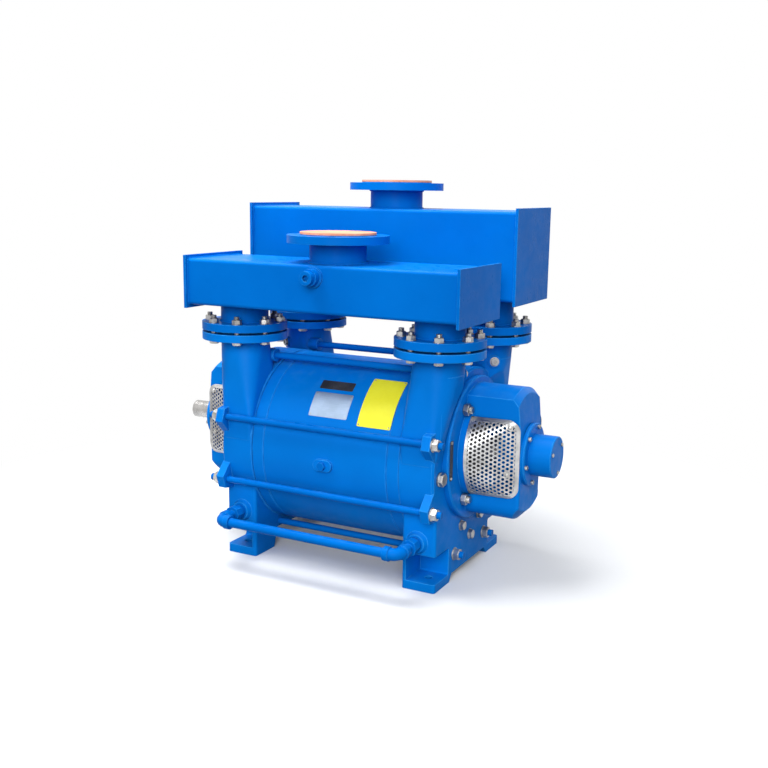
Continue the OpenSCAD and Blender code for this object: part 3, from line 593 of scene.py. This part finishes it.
def bentSheet(tree, flat, entry):
    # flat X and Y become X and height, the bulge gives the depth
    place = addNode(tree, "ShaderNodeSeparateXYZ")
    feed(tree, place.inputs[0], addNode(tree, "GeometryNodeInputPosition").outputs[0])
    x, v = place.outputs["X"], place.outputs["Y"]
    length = calc(tree, "SUBTRACT", entry["End"], entry["Bend"])
    run = calc(tree, "DIVIDE", calc(tree, "SUBTRACT", x, entry["Bend"]), length)
    run = calc(tree, "MINIMUM", calc(tree, "MAXIMUM", run, 0.0), 0.998)
    rest = calc(tree, "SUBTRACT", 1.0, run)
    beyond = calc(tree, "SUBTRACT", calc(tree, "ABSOLUTE", v), calc(tree, "MULTIPLY", run, entry["Half"]))
    root = calc(tree, "MAXIMUM", calc(tree, "DIVIDE", beyond, rest), 0.0)
    square = calc(tree, "MULTIPLY", entry["Drum"], entry["Drum"])
    arc = calc(tree, "SQRT", calc(tree, "SUBTRACT", square, calc(tree, "MULTIPLY", root, root)))
    depth = calc(tree, "ADD", calc(tree, "MULTIPLY", rest, arc), calc(tree, "MULTIPLY", run, entry["Flat"]))
    depth = calc(tree, "ADD", depth, entry["Lift"])
    there = addNode(tree, "ShaderNodeCombineXYZ")
    feed(tree, there.inputs["X"], x)
    feed(tree, there.inputs["Y"], calc(tree, "MULTIPLY", depth, -1.0))
    feed(tree, there.inputs["Z"], calc(tree, "ADD", v, entry["Height"]))
    move = addNode(tree, "GeometryNodeSetPosition")
    feed(tree, move.inputs["Geometry"], flat)
    feed(tree, move.inputs["Position"], there.outputs[0])
    return move.outputs[0]


def rimTree():
    tree, entry = startTree("guardRim", **bulge)
    closeTree(tree, bentSheet(tree, entry["Seed"], entry), entry)
    return tree


def rimLoop(g, inset, left, end, stride=0.006):
    r = g["corner"] - inset
    top, right = g["half"] - inset, g["right"] - end
    loop = [(g["left"] + left, -top)]
    for a0 in (-90, 0):
        cy = (r - top) if a0 == -90 else (top - r)
        for k in range(9):
            a = math.radians(a0 + 90 * k / 8)
            loop.append((right - r + r * math.cos(a), cy + r * math.sin(a)))
    loop.append((g["left"] + left, top))
    # even steps along every side so that the rim follows the bulge
    dense = []
    for one, two in zip(loop, loop[1:] + loop[:1]):
        n = max(1, round(math.dist(one, two) / stride))
        across, up = two[0] - one[0], two[1] - one[1]
        dense += [(one[0] + across * k / n, one[1] + up * k / n) for k in range(n)]
    return dense


def ringBetween(outer, inner):
    # bridge two loops by their share of the way round
    def stations(loop):
        steps = [math.dist(a, b) for a, b in zip(loop, loop[1:] + loop[:1])]
        total = sum(steps)
        return [sum(steps[:k]) / total for k in range(len(loop))]
    so, si = stations(outer), stations(inner)
    points = [(*p, 0) for p in outer + inner]
    faces, a, b, no, ni = [], 0, 0, len(outer), len(inner)
    while a < no or b < ni:
        nextA = so[a + 1] if a + 1 < no else 1.0
        nextB = si[b + 1] if b + 1 < ni else 1.0
        if b >= ni or (a < no and nextA <= nextB):
            faces.append([a % no, (a + 1) % no, no + b % ni])
            a += 1
        else:
            faces.append([a % no, no + (b + 1) % ni, no + b % ni])
            b += 1
    return points, faces


def mirrored(mesh, sx, sy):
    copy = mesh.copy()
    copy.transform(Matrix.Diagonal((sx, sy, 1, 1)))
    if sx * sy < 0:
        copy.flip_normals()
    return copy


def joinMeshes(name, *meshes):
    bm = bmesh.new()
    for mesh in meshes:
        bm.from_mesh(mesh)
    made = bpy.data.meshes.new(name)
    bm.to_mesh(made)
    bm.free()
    for mat in meshes[0].materials:
        made.materials.append(mat)
    return made


def guardSeeds(g):
    column = g["pitch"] * math.sqrt(3) / 2
    rows = math.ceil(g["half"] / g["pitch"])
    seeds = []
    k = 0
    x = g["left"] + g["margin"]
    while x < g["right"] - g["endMargin"]:
        shift = g["pitch"] / 2 if k % 2 else 0.0
        for n in range(-rows, rows):
            v = n * g["pitch"] + shift
            nearX = max(0.0, x - (g["right"] - g["corner"]))
            nearV = max(0.0, abs(v) - (g["half"] - g["corner"]))
            cornered = math.hypot(nearX, nearV) < g["corner"] - g["margin"]
            if cornered and abs(v) < g["half"] - g["margin"]:
                seeds.append((x, v, 0))
        x += column
        k += 1
    return seeds


def buildGuards(g):
    seeds = guardSeeds(g)
    values = {"Bend": g["bend"], "End": g["right"], "Half": g["half"] + 0.001, "Drum": g["drum"],
              "Flat": g["flat"], "Pitch": g["pitch"], "Hole": g["hole"], "Sides": g["sides"],
              "Lift": -g["sink"], "Height": shaftZ, "Finish": guardSheet}
    field = growMesh(bulgeTree(), meshFrom("guardHoles", seeds, []), values, wall=g["sheet"])
    values["Lift"] = g["lift"] - g["sink"]
    edge = rimLoop(g, 0.0, 0.0, 0.0)
    points, faces = ringBetween(edge, rimLoop(g, g["rim"], g["leftRim"], g["rightRim"]))
    rim = growMesh(rimTree(), meshFrom("guardRim", points, faces), values, wall=g["sheet"])
    whole = joinMeshes("guard", field, rim)
    for end, sx in (("de", -1), ("nde", 1)):
        for side, sy in (("front", 1), ("rear", -1)):
            name = "guard" + end.title() + side.title()
            placePiece(name, mirrored(whole, sx, sy), "guard_steel", "guard_%s_%s" % (end, side))
    return len(seeds), len(whole.polygons)


print("guard holes, faces:", buildGuards(guard))

# two small screws hold each guard, placed by X and height over the shaft
guardScrews = {"places": [(0.496, 0.092), (0.4915, -0.041)], "proud": 0.0009}


def guardDepth(g, x, v):
    run = (x - g["bend"]) / (g["right"] - g["bend"])
    root = max((abs(v) - run * g["half"]) / (1 - run), 0.0)
    return (1 - run) * math.sqrt(g["drum"] ** 2 - root ** 2) + run * g["flat"]


spots, aims, tiny = [], [], 0.0005
for x, v in guardScrews["places"]:
    depth = guardDepth(guard, x, v)
    slopeX = (guardDepth(guard, x + tiny, v) - depth) / tiny
    slopeV = (guardDepth(guard, x, v + tiny) - depth) / tiny
    for sx, sy in corners:
        spots.append((sx * x, sy * (depth + guardScrews["proud"]), shaftZ + v))
        aims.append(Vector((-sx * slopeX, sy, -slopeV)).normalized())
guardScrew = fuse("guardScrew", washer(0.0085, -0.0012, 0.0013),
                  lathe([(0, 0.0012), (0.0056, 0.0012), (0.0054, 0.0032), (0.0036, 0.0047), (0, 0.0051)], 16))
setFasteners("guardScrews", guardScrew, spots, aims, "zinc_steel", pick=17)

# outer walls of the four port necks, closing the breaks of the straight bores
neckWall = {
    "y": (0.110, 0.245), "z": (0.418, 0.606), "step": 0.0025, "proud": 0.0002, "thick": 0.003,
    "drum": 0.257, "hollow": 0.208, "slope": 1.3,
    "root": {"x": 0.332, "y": (0.112, 0.250), "z": 0.3635, "r": 0.012},
    "top": {"x": portX, "y": portY, "z": 0.634, "r": 0.070},
}


def neckSurface(w):
    # how far the shield reaches along X over a grid of Y and Z
    low, high = w["root"], w["top"]
    y, z = np.meshgrid(np.arange(*w["y"], w["step"]), np.arange(*w["z"], w["step"]))
    rise = np.clip((z - low["z"]) / (high["z"] - low["z"]), 0, 1)
    middle = low["x"] + (high["x"] - low["x"]) * rise
    r = low["r"] + (high["r"] - low["r"]) * rise
    first, last = [edge + (high["y"] - edge) * rise for edge in low["y"]]
    beside = np.maximum(np.maximum(first - y, y - last), 0)
    neck = middle + np.sqrt(np.maximum(r ** 2 - beside ** 2, 0))
    onFace = np.hypot(y, z - casingZ) < w["drum"]
    neck = np.where(onFace, np.maximum(neck, faceX), neck)
    hollow = faceX + np.maximum(np.hypot(y, z - shaftZ) - w["hollow"], 0) / w["slope"]
    return np.stack((np.minimum(neck, hollow) + w["proud"], y, z), axis=-1), onFace | (beside < r)


def buildNeckWalls(w):
    grid, inside = neckSurface(w)
    points = grid.reshape(-1, 3)
    rows, columns = inside.shape
    faces = []
    for i in range(rows - 1):
        for k in range(columns - 1):
            if inside[i:i + 2, k:k + 2].all():
                a = i * columns + k
                faces.append([a, a + 1, a + columns + 1, a + columns])
    used = sorted({n for face in faces for n in face})
    index = {n: k for k, n in enumerate(used)}
    outer = points[used]
    inner = outer - (w["thick"], 0, 0)
    n = len(used)
    skin = [[index[k] for k in face] for face in faces]
    sides = {(a, b) for face in skin for a, b in zip(face, face[1:] + face[:1])}
    back = [[n + k for k in reversed(face)] for face in skin]
    rim = [[b, a, n + a, n + b] for a, b in sorted(sides) if (b, a) not in sides]
    wall = meshFrom("neckWall", np.vstack((outer, inner)).tolist(), skin + back + rim)
    wall.polygons.foreach_set("use_smooth", [k < len(skin) for k in range(len(wall.polygons))])
    wall.materials.append(castPaint)
    whole = joinMeshes("neckWalls", *[mirrored(wall, sx, sy) for sx, sy in corners])
    placePiece("neckWalls", whole, "blue_paint")
    return len(whole.polygons)


print("neck wall faces:", buildNeckWalls(neckWall))

# weld beads where the box manifolds are put together
beads = {"size": 0.0032, "sides": 7, "step": 0.0022, "ripple": 0.28, "wave": 2.1, "least": 0.86, "most": 1.08,
         "pick": 41}


def beadTree(b):
    tree, entry = startTree("weldBead", Size="Float", Step="Float", Ripple="Float")
    path = addNode(tree, "GeometryNodeMeshToCurve")
    feed(tree, path.inputs["Mesh"], entry["Seed"])
    even = addNode(tree, "GeometryNodeResampleCurve", mode="LENGTH")
    feed(tree, even.inputs["Curve"], path.outputs[0])
    feed(tree, even.inputs["Length"], entry["Step"])
    index = addNode(tree, "GeometryNodeInputIndex").outputs[0]
    wave = calc(tree, "SINE", calc(tree, "MULTIPLY", index, b["wave"]))
    chance = addNode(tree, "FunctionNodeRandomValue", data_type="FLOAT")
    chance.inputs[2].default_value = b["least"]
    chance.inputs[3].default_value = b["most"]
    chance.inputs["Seed"].default_value = b["pick"]
    ripple = calc(tree, "ADD", calc(tree, "MULTIPLY", wave, entry["Ripple"]), 1.0)
    swell = calc(tree, "MULTIPLY", ripple, chance.outputs[1])
    radius = addNode(tree, "GeometryNodeSetCurveRadius")
    feed(tree, radius.inputs["Curve"], even.outputs[0])
    feed(tree, radius.inputs["Radius"], swell)
    section = addNode(tree, "GeometryNodeCurvePrimitiveCircle", mode="RADIUS")
    section.inputs["Resolution"].default_value = b["sides"]
    feed(tree, section.inputs["Radius"], entry["Size"])
    tube = addNode(tree, "GeometryNodeCurveToMesh")
    feed(tree, tube.inputs["Curve"], radius.outputs[0])
    feed(tree, tube.inputs["Profile Curve"], section.outputs[0])
    feed(tree, tube.inputs["Scale"], addNode(tree, "GeometryNodeInputRadius").outputs[0])
    closeTree(tree, tube.outputs[0], entry)
    return tree


def loopEdges(loops):
    points, edges = [], []
    for loop in loops:
        start = len(points)
        points += loop
        edges += [(start + k, start + (k + 1) % len(loop)) for k in range(len(loop))]
    return points, edges


def circleLoop(x, y, z, r, n=96):
    turns = [2 * math.pi * k / n for k in range(n)]
    return [(x + r * math.cos(a), y + r * math.sin(a), z) for a in turns]


def boxLoop(x, y, z0, z1, half, r=0.009):
    loop = []
    side = half - r
    for cy, cz, a0 in ((side, z0 + r, -90), (side, z1 - r, 0), (-side, z1 - r, 90), (-side, z0 + r, 180)):
        for k in range(5):
            a = math.radians(a0 + 22.5 * k)
            loop.append((x, y + cy + r * math.cos(a), cz + r * math.sin(a)))
    return loop


manifolds = {
    "front": {"y": -portY, "z0": 0.746, "height": 0.152, "length": 0.861, "pipeZ": 0.942},
    "rear": {"y": portY, "z0": 0.771, "height": 0.272, "length": 0.892, "pipeZ": 1.087},
}
# end plates and necks that both manifolds share
boxes = {"lip": 0.010, "plate": 0.008, "half": 0.130, "pipe": 0.0800, "neck": 0.0705, "flangeTop": 0.7035}
weldBead = beadTree(beads)
beadValues = {"Size": beads["size"], "Step": beads["step"], "Ripple": beads["ripple"], "Finish": shadedSheetPaint}
for side, m in manifolds.items():
    low, high = m["z0"] + boxes["lip"], m["z0"] + m["height"] - boxes["lip"]
    inner = m["length"] / 2 - boxes["plate"]
    loops = [circleLoop(0, m["y"], z, boxes["pipe"]) for z in (high, m["pipeZ"])]
    for sx in (-1, 1):
        loops.append(boxLoop(sx * inner, m["y"], low, high, boxes["half"]))
        loops += [circleLoop(sx * portX, m["y"], z, boxes["neck"]) for z in (low, boxes["flangeTop"])]
    points, edges = loopEdges(loops)
    made = growMesh(weldBead, meshFrom("beadPath", points, [], edges), beadValues)
    made.polygons.foreach_set("use_smooth", [True] * len(made.polygons))
    placePiece(side + "Welds", made, "blue_paint")
    print(side, "weld faces:", len(made.polygons))

# bare plates riveted round the casing: x from and to in metres, degrees above level
plates = {
    "ratingTop": {"x": (-0.060, 0.048), "angle": (47.4, 54.2), "finish": plateDark},
    "ratingPlate": {"x": (-0.065, 0.059), "angle": (27.8, 44.7), "finish": plateSilver},
    "noticePlate": {"x": (0.095, 0.200), "angle": (25.0, 60.3), "finish": plateYellow},
}
# radius the plates lie on, distance of fixings from the plate edge, air under a plate
drum = 0.2600
fixingInset = 0.006
plateGap = 0.0001


def roundedOutline(x, y, r, steps):
    outline = []
    left, right, low, high = x[0] + r, x[1] - r, y[0] + r, y[1] - r
    centres = ((right, low), (right, high), (left, high), (left, low))
    for turn, (cx, cy) in enumerate(centres):
        for k in range(steps):
            a = math.radians(90 * turn - 90 + 90 * k / (steps - 1))
            outline.append((cx + r * math.cos(a), cy + r * math.sin(a)))
    return outline


def curvedPlate(name, x, angle, finish, thick=0.0009, corner=0.004):
    arc = drum * math.radians(angle[1] - angle[0])
    rows = 24
    points, faces = [], []
    # extra levels let the corners come out round
    levels = sorted({arc * k / rows for k in range(rows + 1)} | {0.0012, 0.0025, arc - 0.0012, arc - 0.0025})
    for s in levels:
        a = math.radians(angle[0]) + s / drum
        short = max(0.0, corner - min(s, arc - s))
        inset = corner - math.sqrt(corner ** 2 - short ** 2)
        for lift in (plateGap, thick):
            r = drum + lift
            points += [(end, -r * math.cos(a), casingZ + r * math.sin(a)) for end in (x[0] + inset, x[1] - inset)]
    for k in range(len(levels) - 1):
        a, b = 4 * k, 4 * k + 4
        faces += [[a + 2, a + 3, b + 3, b + 2], [a + 1, a, b, b + 1]]
        faces += [[a, a + 2, b + 2, b], [a + 3, a + 1, b + 1, b + 3]]
    n = 4 * (len(levels) - 1)
    faces += [[0, 1, 3, 2], [n + 1, n, n + 2, n + 3]]
    mesh = meshFrom(name, points, faces)
    mesh.materials.append(finish)
    placePiece(name, mesh, "zinc_steel")
    spots, aims = [], []
    for px in (x[0] + fixingInset, x[1] - fixingInset):
        for s in (fixingInset, arc - fixingInset):
            a = math.radians(angle[0]) + s / drum
            out = (0, -math.cos(a), math.sin(a))
            spots.append((px, out[1] * (drum + thick), casingZ + out[2] * (drum + thick)))
            aims.append(out)
    return spots, aims


rivetSpots, rivetAims = [], []
for name, p in plates.items():
    spots, aims = curvedPlate(name, p["x"], p["angle"], p["finish"])
    if name != "ratingTop":
        rivetSpots += spots
        rivetAims += aims
rivet = fuse("rivet", lathe([(0, -0.0002), (0.0024, -0.0002), (0.0023, 0.0006), (0.0014, 0.0012),
                             (0, 0.0013)], 12))
setFasteners("plateRivets", rivet, rivetSpots, rivetAims, "zinc_steel")
print("casing plates:", len(plates), "rivets:", len(rivetSpots))

# bare direction strip on the bracket flange at the free end
strip = {"x": 0.362, "y": (-0.1945, -0.1755), "z": (0.312, 0.424), "corner": 0.0045, "thick": 0.0012}


def flangeStrip(s):
    outline = roundedOutline(s["y"], s["z"], s["corner"], 6)
    n = len(outline)
    top = s["x"] + s["thick"]
    points = [(x, *p) for x in (s["x"] + plateGap, top) for p in outline]
    faces = [list(range(n))[::-1], [n + k for k in range(n)]]
    faces += [[k, (k + 1) % n, n + (k + 1) % n, n + k] for k in range(n)]
    mesh = meshFrom("turnStrip", points, faces)
    mesh.materials.append(plateDark)
    placePiece("turnStrip", mesh, "zinc_steel")
    middle = sum(s["y"]) / 2
    spots = [(top, middle, z) for z in (s["z"][0] + fixingInset, s["z"][1] - fixingInset)]
    screw = fuse("stripScrew", lathe([(0, -0.0002), (0.0046, -0.0002), (0.0045, 0.0012), (0.0026, 0.0024),
                                      (0, 0.0026)], 14))
    setFasteners("stripScrews", screw, spots, [(1, 0, 0)] * 2, "zinc_steel")


flangeStrip(strip)
print("strip set")

# floor, lamps and white surroundings
studio = {"floor": (0.86, 0.87, 0.88), "bounce": (0.13, 0.13, 0.14), "near": 0.75, "far": 1.7,
          "reach": 30, "sky": (0.93, 0.96, 1.0, 1), "ambient": 0.27}


def lightPath(tree):
    path = addNode(tree, "ShaderNodeLightPath")
    seen = calc(tree, "ADD", path.outputs["Is Camera Ray"], path.outputs["Is Glossy Ray"])
    return path, calc(tree, "MINIMUM", calc(tree, "ADD", seen, path.outputs["Is Transmission Ray"]), 1.0)


def buildFloor(s):
    far = s["reach"]
    square = [(-far, -far, 0), (far, -far, 0), (far, far, 0), (-far, far, 0)]
    mesh = meshFrom("studioFloor", square, [[0, 1, 2, 3]])
    floor = bpy.data.objects.new("studioFloor", mesh)
    scene.collection.objects.link(floor)
    mat, tree, shader, place = startFinish("paleFloor")
    cloud = grainNoise(tree, place, 1.4, 3)
    tone = blendColour(tree, spread(tree, cloud, 0.3, 0.7), s["floor"], tuple(c * 0.975 for c in s["floor"]))
    path, seen = lightPath(tree)
    tone = blendColour(tree, path.outputs["Is Diffuse Ray"], tone, s["bounce"])
    feed(tree, shader.inputs["Base Color"], tone)
    shader.inputs["Roughness"].default_value = 0.85
    shader.inputs["Specular IOR Level"].default_value = 0.2
    away = addNode(tree, "ShaderNodeVectorMath", operation="LENGTH")
    feed(tree, away.inputs[0], place)
    white = addNode(tree, "ShaderNodeEmission")
    white.inputs["Strength"].default_value = 1.0
    mix = addNode(tree, "ShaderNodeMixShader")
    outside = spread(tree, away.outputs["Value"], s["near"], s["far"])
    feed(tree, mix.inputs[0], calc(tree, "MULTIPLY", seen, outside))
    feed(tree, mix.inputs[1], shader.outputs[0])
    feed(tree, mix.inputs[2], white.outputs[0])
    feed(tree, tree.nodes["Material Output"].inputs["Surface"], mix.outputs[0])
    mesh.materials.append(mat)


def buildWorld(s):
    world = bpy.data.worlds.new("studioWorld")
    scene.world = world
    world.use_nodes = True
    tree = world.node_tree
    sky = tree.nodes["Background"]
    sky.inputs["Color"].default_value = s["sky"]
    sky.inputs["Strength"].default_value = s["ambient"]
    white = addNode(tree, "ShaderNodeBackground")
    white.inputs["Color"].default_value = (1, 1, 1, 1)
    mix = addNode(tree, "ShaderNodeMixShader")
    feed(tree, mix.inputs[0], lightPath(tree)[1])
    feed(tree, mix.inputs[1], sky.outputs[0])
    feed(tree, mix.inputs[2], white.outputs[0])
    feed(tree, tree.nodes["World Output"].inputs["Surface"], mix.outputs[0])


lamps = {
    "topBox": {"place": (-0.9, -0.4, 3.7), "look": (0, 0, 0.5), "size": 2.6, "power": 185},
    "frontBox": {"place": (-1.9, -3.6, 2.3), "look": (0, 0, 0.6), "size": 2.2, "power": 8},
    "fillBox": {"place": (2.8, -7.4, 3.6), "look": (0, 0, 0.4), "size": 5.0, "power": 570},
    "endBox": {"place": (3.2, -0.9, 3.0), "look": (0.2, 0, 0.8), "size": 1.8, "power": 30},
    "backBox": {"place": (1.2, 3.4, 2.6), "look": (0, 0, 0.6), "size": 2.2, "power": 30},
}


def buildLamps():
    for name, box in lamps.items():
        data = bpy.data.lights.new(name, "AREA")
        data.shape = "DISK"
        data.size = box["size"]
        data.energy = box["power"]
        lamp = bpy.data.objects.new(name, data)
        lamp.location = box["place"]
        aim = Vector(box["look"]) - Vector(box["place"])
        lamp.rotation_euler = aim.to_track_quat("-Z", "Y").to_euler()
        scene.collection.objects.link(lamp)


buildFloor(studio)
buildWorld(studio)
buildLamps()
print("studio set")
